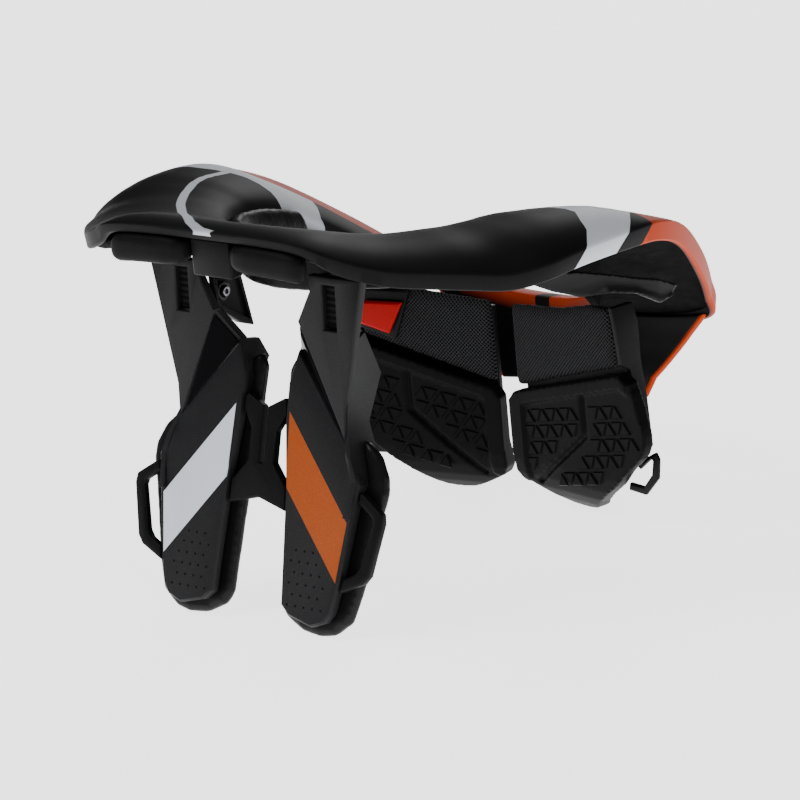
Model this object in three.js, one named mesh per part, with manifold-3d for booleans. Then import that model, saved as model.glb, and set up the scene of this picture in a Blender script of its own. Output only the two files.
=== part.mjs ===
// Motocross neck brace, in millimetres, standing on its four lower pads as it rests on a table.
// +X is the wearer's left, -Y the front, +Z up. Sizes below are along these axes.
import * as THREE from "three";
import { mergeVertices } from "three/addons/utils/BufferGeometryUtils.js";
import Module from "manifold-3d";

const wasm = await Module();
wasm.setup();
const { Manifold, Mesh } = wasm;

// Clearances and walls
const GAP = 0.4; // between pieces that touch in the real brace
const SHELL = 4; // wall of the collar shell
const PLATE = 3; // wall of the flat plastic plates
const PAD_DEPTH = 13; // front pads, from front to back
const PAD_TALL = 14; // front pads, height
const CENTRE_Y = 132.7; // middle of the brace along Y, moved to the origin

// Colours of the CAD nodes
const BLACK = "#1b1b1d";
const DARK = "#111113";
const GREY = "#2a2a2c";
const ORANGE = "#f07d1a";
const RED = "#d5131f";
const STEEL = "#b8babd";

// The collar's stations over the wearer's left half, from the middle of the front to the middle of the back.
// outer: the top edge of the outer bevel. inner: the edge of the neck opening.
// crown: how far the top face swells above the line between them. rim: the height of the outer bevel.
const COLLAR_STATIONS = [
  { outer: [0, -8, 193.3], inner: [0, 40, 177], crown: 6.5, rim: 4.4 },
  { outer: [38, -9, 193.3], inner: [20, 44, 177], crown: 6.5, rim: 4.4 },
  { outer: [60, -8, 191.5], inner: [31, 50, 177], crown: 6.5, rim: 4.8 },
  { outer: [73, -3, 186.5], inner: [37, 54, 176.8], crown: 7, rim: 7.5 },
  { outer: [84, 3, 182.4], inner: [42, 58, 176.5], crown: 7.5, rim: 8 },
  { outer: [95, 12, 178.5], inner: [47, 62, 176], crown: 8, rim: 8 },
  { outer: [107, 24, 175.8], inner: [51, 67, 175.8], crown: 8.5, rim: 8 },
  { outer: [119.5, 37.5, 173], inner: [56, 74, 175], crown: 10, rim: 8 },
  { outer: [131, 53, 170], inner: [60, 81, 174], crown: 11.5, rim: 8 },
  { outer: [140, 70, 171.3], inner: [63.5, 92, 172.3], crown: 13, rim: 8 },
  { outer: [143, 92, 172.8], inner: [65.5, 105, 170], crown: 14, rim: 8 },
  { outer: [145, 124, 173], inner: [67, 130, 162], crown: 13.5, rim: 8.5 },
  { outer: [143, 151, 171], inner: [66, 150, 151], crown: 8.5, rim: 9.5 },
  { outer: [134, 180, 161], inner: [64, 170, 139], crown: 5, rim: 11 },
  { outer: [118, 214, 138], inner: [60, 190, 126], crown: 3, rim: 12 },
  { outer: [104, 238, 117], inner: [51, 209, 114], crown: 2.5, rim: 11 },
  { outer: [92, 254, 99], inner: [38, 224, 105], crown: 2, rim: 8 },
  { outer: [52, 270, 87], inner: [19, 231.5, 99], crown: 2, rim: 8 },
  { outer: [0, 275, 83], inner: [0, 234, 97], crown: 2.5, rim: 8 },
];
const STEPS = 2; // lofted sections between two stations

// Height of the top face over the line from the outer to the inner edge, as shares of the crown.
const CROWN_SHAPE = [
  [0, 0],
  [0.06, 0.3],
  [0.18, 0.72],
  [0.34, 0.98],
  [0.52, 1],
  [0.72, 0.86],
  [0.88, 0.55],
  [0.97, 0.2],
  [1, -0.1],
];

function v(x, y, z) {
  return new THREE.Vector3(x, y, z);
}

// A closed manifold-3d solid from a three.js geometry.
function solid(geometry) {
  const bare = new THREE.BufferGeometry();
  const source = geometry.index ? geometry.toNonIndexed() : geometry;
  bare.setAttribute("position", source.getAttribute("position"));
  const merged = mergeVertices(bare, 1e-3);
  const made = new Manifold(
    new Mesh({
      numProp: 3,
      vertProperties: new Float32Array(merged.attributes.position.array),
      triVerts: new Uint32Array(merged.index.array),
    }),
  );
  if (made.volume() < 0) throw new Error("a solid is inside out");
  return made;
}

// A solid skinned over a row of sections with the same number of points each. A ring closes on itself,
// and an open row is capped at both ends.
function loft(sections, ring = false) {
  const rows = sections.length;
  const count = sections[0].length;
  const points = [];
  for (const section of sections) for (const p of section) points.push(p.x, p.y, p.z);
  const faces = [];
  const at = (row, i) => (row % rows) * count + (i % count);
  for (let row = 0; row < (ring ? rows : rows - 1); row++) {
    for (let i = 0; i < count; i++) {
      faces.push(at(row, i), at(row, i + 1), at(row + 1, i + 1));
      faces.push(at(row, i), at(row + 1, i + 1), at(row + 1, i));
    }
  }
  if (!ring) {
    cap(sections[0], 0, true, faces);
    cap(sections[rows - 1], (rows - 1) * count, false, faces);
  }
  const geometry = new THREE.BufferGeometry();
  geometry.setAttribute("position", new THREE.Float32BufferAttribute(points, 3));
  geometry.setIndex(faces);
  let made = new Manifold(
    new Mesh({ numProp: 3, vertProperties: new Float32Array(points), triVerts: new Uint32Array(faces) }),
  );
  if (made.volume() < 0) {
    for (let i = 0; i < faces.length; i += 3) [faces[i + 1], faces[i + 2]] = [faces[i + 2], faces[i + 1]];
    made = new Manifold(
      new Mesh({ numProp: 3, vertProperties: new Float32Array(points), triVerts: new Uint32Array(faces) }),
    );
  }
  return made;
}

// Triangles over one end section, found in the section's own plane.
function cap(section, first, start, faces) {
  const normal = v(0, 0, 0);
  section.forEach((p, i) => normal.add(p.clone().cross(section[(i + 1) % section.length])));
  normal.normalize();
  const across = section[1].clone().sub(section[0]).normalize();
  const up = normal.clone().cross(across);
  const flat = section.map((p) => new THREE.Vector2(p.dot(across), p.dot(up)));
  for (const [a, b, c] of THREE.ShapeUtils.triangulateShape(flat, [])) {
    if (start) faces.push(first + a, first + c, first + b);
    else faces.push(first + a, first + b, first + c);
  }
}

// A plate in a flat frame: the outline in the frame's two in-plane axes, extruded from `back` to `front`
// along the frame's normal, with its front edges bevelled.
function plate(frame, outline, back, front, bevel = 0, holes = []) {
  const shape = new THREE.Shape(outline.map(([a, b]) => new THREE.Vector2(a, b)));
  for (const hole of holes) shape.holes.push(new THREE.Path(hole.map(([a, b]) => new THREE.Vector2(a, b))));
  const geometry = new THREE.ExtrudeGeometry(shape, {
    depth: front - back - 2 * bevel,
    bevelEnabled: bevel > 0,
    bevelThickness: bevel,
    bevelSize: bevel,
    bevelOffset: -bevel,
    bevelSegments: 1,
    curveSegments: 6,
  });
  geometry.translate(0, 0, back + bevel);
  geometry.applyMatrix4(frame);
  return solid(geometry);
}

// The frame with the given origin, in-plane axes and their cross product as normal.
function frameOf(origin, across, up) {
  const a = across.clone().normalize();
  const n = a.clone().cross(up).normalize();
  const b = n.clone().cross(a);
  return new THREE.Matrix4().makeBasis(a, b, n).setPosition(origin);
}

// An outline with its corners cut round: each corner becomes `parts` + 1 points on a quadratic curve.
function rounded(outline, radius, parts = 3) {
  const out = [];
  outline.forEach((corner, i) => {
    const before = outline[(i + outline.length - 1) % outline.length];
    const after = outline[(i + 1) % outline.length];
    const toward = (other) => {
      const length = Math.hypot(other[0] - corner[0], other[1] - corner[1]);
      const share = Math.min(radius / length, 0.45);
      return [corner[0] + (other[0] - corner[0]) * share, corner[1] + (other[1] - corner[1]) * share];
    };
    const [start, end] = [toward(before), toward(after)];
    for (let k = 0; k <= parts; k++) {
      const s = k / parts;
      out.push(
        [0, 1].map((j) => (1 - s) ** 2 * start[j] + 2 * s * (1 - s) * corner[j] + s ** 2 * end[j]),
      );
    }
  });
  return out;
}

function box(centre, size) {
  const geometry = new THREE.BoxGeometry(...size);
  geometry.translate(...centre);
  return solid(geometry);
}

// A rod of round section from one point to another.
function rod(from, to, radius, sides = 20) {
  const length = from.distanceTo(to);
  const geometry = new THREE.CylinderGeometry(radius, radius, length, sides);
  const turn = new THREE.Quaternion().setFromUnitVectors(v(0, 1, 0), to.clone().sub(from).normalize());
  geometry.applyQuaternion(turn);
  geometry.translate(...from.clone().add(to).multiplyScalar(0.5));
  return solid(geometry);
}

const group = new THREE.Group();

function add(name, made, colour, roughness = 0.5, metalness = 0) {
  const data = made.getMesh();
  const positions = new Float32Array(data.numVert * 3);
  for (let i = 0; i < data.numVert; i++) {
    for (let k = 0; k < 3; k++) positions[3 * i + k] = data.vertProperties[data.numProp * i + k];
  }
  const geometry = new THREE.BufferGeometry();
  geometry.setAttribute("position", new THREE.BufferAttribute(positions, 3));
  geometry.setIndex(new THREE.BufferAttribute(data.triVerts, 1));
  const material = new THREE.MeshStandardMaterial({ color: colour, roughness, metalness });
  const mesh = new THREE.Mesh(geometry, material);
  mesh.name = name;
  mesh.position.set(0, -CENTRE_Y, 0);
  group.add(mesh);
}

// The same piece on both sides: made for the wearer's left and mirrored for the right.
function addPair(name, made, colour, roughness, metalness) {
  add(name + "_left", made, colour, roughness, metalness);
  add(name + "_right", made.mirror([1, 0, 0]), colour, roughness, metalness);
}

// Collar stations.

// A value of the station table at a place between two stations, on a smooth curve through its neighbours.
function blend(values, place) {
  const i = Math.min(Math.floor(place), values.length - 2);
  const s = place - i;
  const get = (k) => (k < values.length ? values[Math.abs(k)] : values[2 * (values.length - 1) - k]);
  const [a, b, c, d] = [get(i - 1), get(i), get(i + 1), get(i + 2)];
  return (
    0.5 * (2 * b + (c - a) * s + (2 * a - 5 * b + 4 * c - d) * s ** 2 + (3 * b - a - 3 * c + d) * s ** 3)
  );
}

// One coordinate over the stations. X changes sign over the middle plane, so its neighbours there are mirrored.
function column(read, odd) {
  const values = COLLAR_STATIONS.map(read);
  return (place) => {
    if (!odd) return blend(values, place);
    const last = values.length - 1;
    const wide = [-values[1], ...values, -values[last - 1]];
    return blend(wide, place + 1);
  };
}

const outerAt = [0, 1, 2].map((k) => column((s) => s.outer[k], k === 0));
const innerAt = [0, 1, 2].map((k) => column((s) => s.inner[k], k === 0));
const crownAt = column((s) => s.crown, false);
const rimAt = column((s) => s.rim, false);

// The edges of the collar at a place along the stations, with the level direction from outer to inner edge.
function collarAt(place) {
  const outer = v(...outerAt.map((f) => f(place)));
  const inner = v(...innerAt.map((f) => f(place)));
  if (place === 0 || place === COLLAR_STATIONS.length - 1) outer.x = inner.x = 0;
  const inward = inner.clone().sub(outer).setZ(0).normalize();
  return { place, outer, inner, inward, crown: crownAt(place), rim: rimAt(place) };
}

// A point on the collar's top face, lowered by `drop`: share 0 is the outer edge and 1 the inner edge.
function onTop(station, share, drop = 0) {
  const p = station.outer.clone().lerp(station.inner, share);
  let lift = 0;
  for (let i = 1; i < CROWN_SHAPE.length; i++) {
    const [s0, h0] = CROWN_SHAPE[i - 1];
    const [s1, h1] = CROWN_SHAPE[i];
    if (share >= s0 && share <= s1) lift = h0 + ((h1 - h0) * (share - s0)) / (s1 - s0);
  }
  p.z += lift * station.crown - drop;
  return p;
}

const LAST = COLLAR_STATIONS.length - 1;
const INNER_LIP = 9; // height of the shell's wall at the neck opening

// The shell's section: the top face, the wall at the neck opening, the hollow underneath and the outer bevel.
function collarSection(station) {
  const width = station.outer.distanceTo(station.inner);
  const wall = SHELL / width;
  const out = [];
  for (const [share] of CROWN_SHAPE) out.push(onTop(station, share));
  const innerLow = onTop(station, 1, INNER_LIP);
  out.push(innerLow, innerLow.clone().addScaledVector(station.inward, -SHELL));
  for (const share of [1 - wall, 0.72, 0.52, 0.34, wall]) out.push(onTop(station, share, SHELL));
  const outerLow = station.outer.clone().addScaledVector(station.inward, 1).setZ(station.outer.z - station.rim);
  out.push(outerLow.clone().addScaledVector(station.inward, SHELL - 1), outerLow);
  return out;
}

// Sections round the whole ring, from places on the left half and their mirror images.
function ringSections(make, from, to, steps) {
  const left = [];
  for (let k = 0; k <= (to - from) * steps; k++) left.push(make(collarAt(from + k / steps)));
  const right = left.map((section) => section.map((p) => v(-p.x, p.y, p.z)));
  return { left, right };
}

const shellSections = ringSections(collarSection, 0, LAST, STEPS);
const shellRing = [...shellSections.left, ...shellSections.right.slice(1, -1).reverse()];
let collar = loft(shellRing, true);

// The shield at the back: rows from the collar's rear edge down to the lower edge, narrower towards the bottom.
const SHIELD_WALL = 3.5;
const SHIELD_ROWS = [
  { z: 93, half: 89, side: 253, middle: 273 },
  { z: 84, half: 78, side: 255, middle: 272 },
  { z: 71, half: 65, side: 256, middle: 270 },
  { z: 57, half: 52, side: 256, middle: 267 },
  { z: 44, half: 46, side: 255, middle: 264 },
];
const SHIELD_PARTS = 12;
function shieldSection({ z, half, side, middle }) {
  const front = [];
  const back = [];
  for (let k = 0; k <= SHIELD_PARTS; k++) {
    const s = (2 * k) / SHIELD_PARTS - 1;
    const y = middle + (side - middle) * s ** 2;
    front.push(v(s * half, y - SHIELD_WALL, z));
    back.push(v(s * half, y, z));
  }
  return [...front, ...back.reverse()];
}
collar = collar.add(loft(SHIELD_ROWS.map(shieldSection)));
add("collar_shell", collar, BLACK, 0.45);

// Tray that closes the collar from below, round the front and the sides.
const TRAY_END = 11;
const TRAY_UP = 2.5;
const TRAY_DOWN = 0.5;
function traySection(station) {
  const width = station.outer.distanceTo(station.inner);
  const clearOfPads = PAD_DEPTH + 2 - 11 * THREE.MathUtils.clamp((station.place - 2.2) / 0.8, 0, 1);
  const near = (clearOfPads + 0.6) / width;
  const far = 1 - (SHELL + 1.6) / width;
  const low = Math.max(station.rim, 8);
  const at = (share, drop) => {
    const p = station.outer.clone().lerp(station.inner, share);
    p.z -= drop;
    return p;
  };
  return [
    at(near, low - TRAY_UP),
    at(far, low - TRAY_UP),
    at(far, low - 1),
    at(far - 0.06, low + TRAY_DOWN),
    at(near + 0.06, low + TRAY_DOWN),
    at(near, low - 1),
  ];
}
const traySections = ringSections(traySection, 0, TRAY_END, STEPS);
const tray = loft([...traySections.right.slice(1).reverse(), ...traySections.left]);

// Neck liner: a padded strip inside the opening, round its front and sides.
const LINER_END = 11;
const LINER_THICK = 8;
const LINER_HEIGHT = 24;
function linerSection(station) {
  const top = onTop(station, 1).addScaledVector(station.inward, GAP);
  const height = LINER_HEIGHT - 8 * THREE.MathUtils.smoothstep(station.place, 8.5, LINER_END);
  const at = (inwards, drop) => {
    const p = top.clone().addScaledVector(station.inward, inwards);
    p.z -= drop;
    return p;
  };
  return [
    at(0, 0.5),
    at(1.5, -1.2),
    at(3.5, -1.4),
    at(5.5, 0.6),
    at(LINER_THICK, 6),
    at(LINER_THICK + 0.8, height * 0.55),
    at(LINER_THICK - 1, height - 3),
    at(LINER_THICK - 4, height),
    at(0, height - 1),
  ];
}
const linerSections = ringSections(linerSection, 0, LINER_END, STEPS);
const liner = loft([...linerSections.right.slice(1).reverse(), ...linerSections.left]);
add("neck_liner", liner, DARK, 0.35);

// Front foam pads on the collar's front edge.
const FRONT_PAD_ROWS = [
  { place: 0.38, grow: 0.55 },
  { place: 0.46, grow: 0.85 },
  { place: 0.62, grow: 1 },
  { place: 0.9, grow: 1 },
  { place: 1.2, grow: 1 },
  { place: 1.5, grow: 1 },
  { place: 1.72, grow: 0.98 },
  { place: 1.9, grow: 0.88 },
  { place: 2, grow: 0.6 },
];
function frontPadSection({ place, grow }) {
  const station = collarAt(place);
  const out = station.inward.clone().multiplyScalar(-1);
  const centre = station.outer.clone().addScaledVector(out, 0.8 - PAD_DEPTH / 2);
  centre.z -= station.rim + GAP + PAD_TALL / 2;
  const section = [];
  const parts = 12;
  for (let k = 0; k < parts; k++) {
    const angle = (2 * Math.PI * (k + 0.5)) / parts;
    const [c, s] = [Math.cos(angle), Math.sin(angle)];
    const soft = (value) => Math.sign(value) * Math.abs(value) ** 0.55;
    const p = centre.clone().addScaledVector(out, soft(c) * (PAD_DEPTH / 2) * grow);
    p.z += soft(s) * (PAD_TALL / 2) * grow;
    section.push(p);
  }
  return section;
}
const frontPad = loft(FRONT_PAD_ROWS.map(frontPadSection));

// Chest legs.
// The lower plate lies in a plane that leans back: its outline is in X and the slope.
const legFrame = frameOf(v(0, -8.5, 0), v(1, 0, 0), v(0, 0.286, 0.958));
// The stem above it stands almost upright.
const stemFrame = frameOf(v(0, 13.2, 0), v(1, 0, 0), v(0, 0.066, 0.998));

const LEG_DEPTH = 6;
const STEM_DEPTH = 5;
const STEM_TOP = 168;
const LEG_PLATE = [
  [18.5, 134],
  [14.2, 118],
  [14.4, 99],
  [18.2, 69],
  [18.8, 60],
  [21.8, 15],
  [27, 10.5],
  [41, 7],
  [49, 10],
  [52.5, 15],
  [55.5, 28],
  [62.5, 76],
  [52, 95.5],
];
const STEM = [
  [34, STEM_TOP],
  [34, 160],
  [26, 145],
  [51.2, 91.5],
  [52, 105],
  [57, 128],
  [66, STEM_TOP],
];
const SLOT = [
  [41.9, 142.8],
  [49.6, 142.8],
  [49.6, 164],
  [41.9, 164],
];
let leg = plate(legFrame, LEG_PLATE, -LEG_DEPTH, 0, 1);
leg = leg.add(plate(stemFrame, STEM, -STEM_DEPTH, 0, 0.6, [SLOT]));

// A strip between a front and a back edge, `wall` thick towards the middle of the brace and `grown` on each side.
function strip(rows, wall, grown = 0) {
  const last = rows.length - 1;
  return loft(
    rows.map(([front, back], k) => {
      const [a, b] = [v(...front), v(...back)];
      const run = b.clone().sub(a).normalize().multiplyScalar(grown);
      const rise = (k === 0 ? grown : 0) - (k === last ? grown : 0);
      a.sub(run).add(v(grown, 0, rise));
      b.add(run).add(v(grown, 0, rise));
      const across = v(-wall - 2 * grown, 0, 0);
      return [a, b, b.clone().add(across), a.clone().add(across)];
    }),
  );
}
const OUTER_WALL = [
  [[58, 22.5, 136], [57, 34, 140]],
  [[53.2, 22, 112], [54, 46, 117]],
  [[52.8, 20.5, 94], [54.5, 34, 97]],
  [[57, 15.5, 84], [58.5, 33, 83]],
  [[61.2, 13.6, 74], [62.2, 20.4, 71]],
  [[59, 7, 58], [59.4, 11, 56]],
];
const INNER_WALL = [
  [[21.5, 32, 129], [22.5, 45, 126]],
  [[17.6, 29, 115], [19, 47, 117]],
  [[17.6, 23.5, 98], [18.4, 31, 98]],
];
leg = leg.add(strip(OUTER_WALL, PLATE)).add(strip(INNER_WALL, PLATE));

// The triangular flank that joins stem and plate at a slant.
const flankTop = v(26.4, 24.6, 144.5);
const flankInner = v(19.2, 32.4, 128.6);
const flankLow = v(50.6, 20.4, 92.5);
const flank = [flankTop, flankInner, flankLow];
leg = leg.add(loft([flank, flank.map((p) => p.clone().add(v(0, 4, 0)))]));
addPair("chest_leg", leg, GREY, 0.55);

// A glossy window set on the flank.
const windowAt = (lift) => {
  const middle = flankTop.clone().add(flankInner).add(flankLow).multiplyScalar(1 / 3);
  const normal = flankInner.clone().sub(flankTop).cross(flankLow.clone().sub(flankTop)).normalize();
  if (normal.y > 0) normal.negate();
  return flank.map((p) => p.clone().lerp(middle, 0.1).addScaledVector(normal, lift));
};
addPair("leg_window", loft([windowAt(0.3), windowAt(1.3)]), DARK, 0.15);

// Chest pads behind the legs.
const CHEST_PAD = { front: -7, back: -12.6, bevel: 1.6 };
const CHEST_PAD_OUTLINE = [
  [12.6, 57],
  [8.6, 90],
  [7.4, 124],
  [10.5, 130],
  [15, 128],
  [22, 117],
  [50, 99],
  [61, 95],
  [67, 90],
  [72.5, 80],
  [73, 72],
  [70, 60],
  [63.5, 26],
  [59, 11],
  [50, 4],
  [41, 1.8],
  [30, 3.5],
  [19, 9],
  [15.5, 15],
];
let chestPad = plate(legFrame, CHEST_PAD_OUTLINE, CHEST_PAD.back, CHEST_PAD.front, CHEST_PAD.bevel);
chestPad = chestPad.subtract(box([40, 0, -20], [120, 120, 40]));
for (const wall of [OUTER_WALL, INNER_WALL]) chestPad = chestPad.subtract(strip(wall, PLATE, GAP));
addPair("chest_pad", chestPad, BLACK, 0.6);

// Strap loops at the outer edges of the legs.
const CHEST_LOOP = [
  [62.9, 73],
  [65, 72],
  [76.8, 64.6],
  [77.6, 60],
  [72.6, 35],
  [69.5, 31],
  [56.2, 25],
  [57, 31.6],
  [64, 35.2],
  [66.6, 38.5],
  [71.6, 59.5],
  [70.8, 62],
  [62.2, 67.6],
];
addPair("chest_loop", plate(legFrame, CHEST_LOOP, -5.4, -1, 0.8), GREY, 0.5);

// Link between the two legs, with a slot open at its top.
const LINK_HALF = [
  [1.5, 78.5],
  [1.5, 105.6],
  [11.3, 110.6],
  [13, 109.2],
  [13.2, 103],
  [7.8, 94.5],
  [7.8, 79.8],
  [13.6, 73],
  [17, 69.2],
  [17.6, 58],
  [0, 62.6],
];
const mirrored = LINK_HALF.slice(0, -1).map(([a, b]) => [-a, b]).reverse();
const link = plate(legFrame, [...LINK_HALF, ...mirrored], -6.6, -1.8, 0.6);
add("centre_link", link, GREY, 0.55);

// Brackets beside the stems, each with a recess, a bolt and a washer.
const sideFrame = frameOf(v(0, 0, 0), v(0, 1, 0), v(0, 0, 1));
const BRACKET = [
  [29.6, 165.5],
  [45, 163.5],
  [49, 153],
  [54, 128.5],
  [45, 132],
  [36, 139],
  [29.6, 143],
];
const RECESS = [
  [31.5, 162.5],
  [43.6, 161],
  [47.2, 152],
  [51.4, 132.5],
  [45, 136.5],
  [37, 142],
  [31.5, 145.5],
];
const BRACKET_AT = 30;
const BRACKET_DEPTH = 4.2;
let bracket = plate(sideFrame, BRACKET, BRACKET_AT, BRACKET_AT + BRACKET_DEPTH, 0.5);
bracket = bracket.subtract(plate(sideFrame, RECESS, BRACKET_AT - 2, BRACKET_AT + BRACKET_DEPTH - 1.6));
addPair("leg_bracket", bracket, GREY, 0.55);
const BOLT = v(BRACKET_AT + BRACKET_DEPTH - 1.6 - GAP, 36.5, 150);
const along = (x) => v(x, BOLT.y, BOLT.z);
const washer = rod(along(BOLT.x - 1.4), along(BOLT.x), 4.6, 28);
addPair("bolt_washer", washer.subtract(rod(along(BOLT.x - 3), along(BOLT.x + 1), 2.9, 24)), STEEL, 0.35, 0.9);
const bolt = rod(along(BOLT.x - 3), along(BOLT.x), 2.5, 24);
addPair("bolt", bolt.subtract(rod(along(BOLT.x - 4), along(BOLT.x - 1.2), 1.3, 6)), STEEL, 0.25, 1);

// Rear struts, mesh panels and moulded pads.
// The back panels are upright and turn forward towards their outer edges: outlines are along the panel and Z.
const rearFrame = frameOf(v(0, 201.5, 0), v(1, -0.18, 0), v(0, 0, 1));
const rearPoint = (a, b, lift) => v(a, b, lift).applyMatrix4(rearFrame);

const MESH_PANEL = [
  [6.5, 60.6],
  [82.4, 82.2],
  [81.5, 94],
  [79, 106],
  [77.5, 112],
  [68, 111.5],
  [59, 110],
  [42, 106.5],
  [7, 103],
];
const MESH_DEPTH = 4;
addPair("mesh_panel", plate(rearFrame, MESH_PANEL, -MESH_DEPTH, 0, 1.2), DARK, 0.9);

const REAR_PAD = [
  [7, 58.6],
  [86, 80],
  [93, 76],
  [101, 50],
  [99, 41],
  [84, 28],
  [77, 21],
  [58, 8],
  [47, 0],
  [31, 0],
  [20, 5],
  [6.5, 12],
  [3.6, 17],
  [3.4, 54],
];
const REAR_GROOVE = [
  [55.6, 69],
  [58.4, 69],
  [58.4, 43],
  [17.5, 10.5],
  [15.6, 12.8],
  [55.6, 44.6],
];
const REAR_PROFILE = [
  [2, 84],
  [2, 24],
  [0.6, 16],
  [-2, 10],
  [-6, 5],
  [-13, -1],
  [-22, -1],
  [-14, 6],
  [-9.6, 12],
  [-7.4, 20],
  [-4.6, 30],
  [-4.6, 84],
];
const profileFrame = frameOf(rearPoint(0, 0, 0), rearPoint(0, 0, 1).sub(rearPoint(0, 0, 0)), v(0, 0, 1));
const profileBar = (outline) => {
  const bar = plate(profileFrame, outline, -110, 110);
  return bar;
};
let rearPad = plate(rearFrame, rounded(REAR_PAD, 5, 2), -30, 10).intersect(profileBar(REAR_PROFILE));
const grooveTool = plate(rearFrame, REAR_GROOVE, -30, 12);
const grooveDepth = REAR_PROFILE.map(([lift, z]) => [lift - 2, z]);
rearPad = rearPad.subtract(grooveTool.subtract(profileBar(grooveDepth)));
// The raised ledge along the pad's top edge and its inner edge.
const LEDGE = [
  [7, 58.6],
  [86, 80],
  [93, 76],
  [91, 71],
  [85, 72.8],
  [12.5, 53],
  [12.5, 13],
  [9.5, 11],
  [6.5, 12],
  [3.6, 17],
  [3.4, 54],
];
const ledgeProfile = [
  ...REAR_PROFILE.slice(6),
  [4, 84],
  [4, 24],
  [2.6, 16.4],
  [0, 10.6],
  [-4, 5.6],
  [-11, -1],
];
const ledge = plate(rearFrame, LEDGE, -30, 12, 0).intersect(profileBar(ledgeProfile));
rearPad = rearPad.add(ledge);
addPair("rear_pad", rearPad, BLACK, 0.55);

// The strut behind them, with a side wall that runs back from its outer edge.
const STRUT = [
  [8, 32],
  [8, 99],
  [42, 101],
  [56, 106],
  [80, 110],
  [82, 98],
  [85.5, 82],
  [86, 52],
  [80, 33],
];
let strut = plate(rearFrame, STRUT, -9.6, -5.2, 0.8);
const STRUT_EDGE = [
  { a: 82, z: 112, front: -0.5, back: -14 },
  { a: 83.9, z: 102, front: -0.5, back: -15 },
  { a: 86.3, z: 84, front: -0.5, back: -12.7 },
  { a: 86.6, z: 81, front: -5.2, back: -12.7 },
  { a: 88.5, z: 67, front: -5.2, back: -13 },
  { a: 93, z: 42, front: -5.2, back: -10.5 },
];
strut = strut.add(
  loft(
    STRUT_EDGE.map(({ a, z, front, back }) => [
      rearPoint(a, z, front),
      rearPoint(a, z, back),
      rearPoint(a - PLATE, z, back),
      rearPoint(a - PLATE, z, front),
    ]),
  ),
);
addPair("rear_strut", strut, GREY, 0.5);

// Strap loops under the outer corners of the rear pads.
const REAR_LOOP = [
  [80, 31],
  [94, 38.5],
  [96, 35],
  [94.5, 25],
  [85, 15],
  [73, 15.5],
  [74, 19.5],
  [84, 19.2],
  [90.5, 26.5],
  [92, 34],
  [90.5, 34.5],
  [82, 27.6],
];
addPair("rear_loop", plate(rearFrame, REAR_LOOP, -12.5, -9.8, 0.6), GREY, 0.5);

// The red release clip and its base, on the wearer's right strut.
const CLIP_BASE = [
  [50.6, 107],
  [61, 80.8],
  [84, 87],
  [81, 107],
];
const CLIP = [
  [53.6, 101.5],
  [62.8, 84.6],
  [81, 89.5],
  [77, 101.5],
];
const clipBase = plate(rearFrame, CLIP_BASE, 0.4, 3.4, 0.8).mirror([1, 0, 0]);
const clip = plate(rearFrame, CLIP, 3.8, 7, 1.2).mirror([1, 0, 0]);
add("clip_base_right", clipBase, BLACK, 0.5);
add("release_clip_right", clip, RED, 0.3);

// Shoulder pads: curved flaps under the collar's rear sides, ending in a beak.
const FLAP = [
  { top: [66, 141, 144.5], low: [65, 146, 135] },
  { top: [69, 152, 138.6], low: [68, 157, 129] },
  { top: [75, 166, 137], low: [75, 169, 123] },
  { top: [83, 180, 132.5], low: [83.5, 180, 122.5] },
  { top: [90, 193, 128], low: [90.5, 193, 119.5] },
  { top: [95.5, 204, 125], low: [95, 204, 112.5] },
  { top: [97.5, 216, 119], low: [96.5, 211, 114.5] },
];
const FLAP_WALL = 5;
const flap = loft(
  FLAP.map(({ top, low }, k) => {
    const [a, b] = [v(...top), v(...low)];
    const next = FLAP[Math.min(k + 1, FLAP.length - 1)];
    const last = FLAP[Math.max(k - 1, 0)];
    const run = v(...next.top).sub(v(...last.top)).normalize();
    const out = run.cross(a.clone().sub(b)).normalize();
    if (out.x < 0) out.negate();
    const at = (share, lift) => a.clone().lerp(b, share).addScaledVector(out, lift * FLAP_WALL);
    return [at(0.04, 0), at(0.3, -0.35), at(0.7, -0.3), at(0.95, 0.05), at(1, 0.5), at(0.95, 1), at(0.6, 0.75), at(0.25, 0.7), at(0, 0.8)];
  }),
);
addPair("shoulder_pad", flap, BLACK, 0.4);

addPair("front_pad", frontPad, DARK, 0.5);

// Tray and the middle of the front.
const bridge = box([0, 1, 179], [24, 8, 18]);
add("under_tray", tray, BLACK, 0.5);
add("front_bridge", bridge, BLACK, 0.5);

export default group;
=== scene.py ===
"""Motocross neck brace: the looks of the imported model, as a Blender add-on that is run as a script.

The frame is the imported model: metres, +X the wearer's left, -Y the front, +Z up.
Sizes below are in millimetres and are turned into metres by MM where they are used.
"""

import math

import bmesh
import bpy
from mathutils import Matrix, Vector


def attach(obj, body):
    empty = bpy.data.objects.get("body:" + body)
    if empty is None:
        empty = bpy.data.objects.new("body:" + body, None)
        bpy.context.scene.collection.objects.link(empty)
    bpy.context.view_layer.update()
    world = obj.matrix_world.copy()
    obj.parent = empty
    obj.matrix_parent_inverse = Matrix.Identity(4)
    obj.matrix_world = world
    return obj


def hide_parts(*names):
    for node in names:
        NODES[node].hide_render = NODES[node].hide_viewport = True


bl_info = {
    "name": "Motocross neck brace",
    "version": (1, 0, 0),
    "blender": (4, 5, 0),
    "location": "3D View > Sidebar > Neck brace",
    "description": "Dresses the packed neck brace with its shells, pads, stripes and materials",
    "category": "Object",
}

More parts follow.
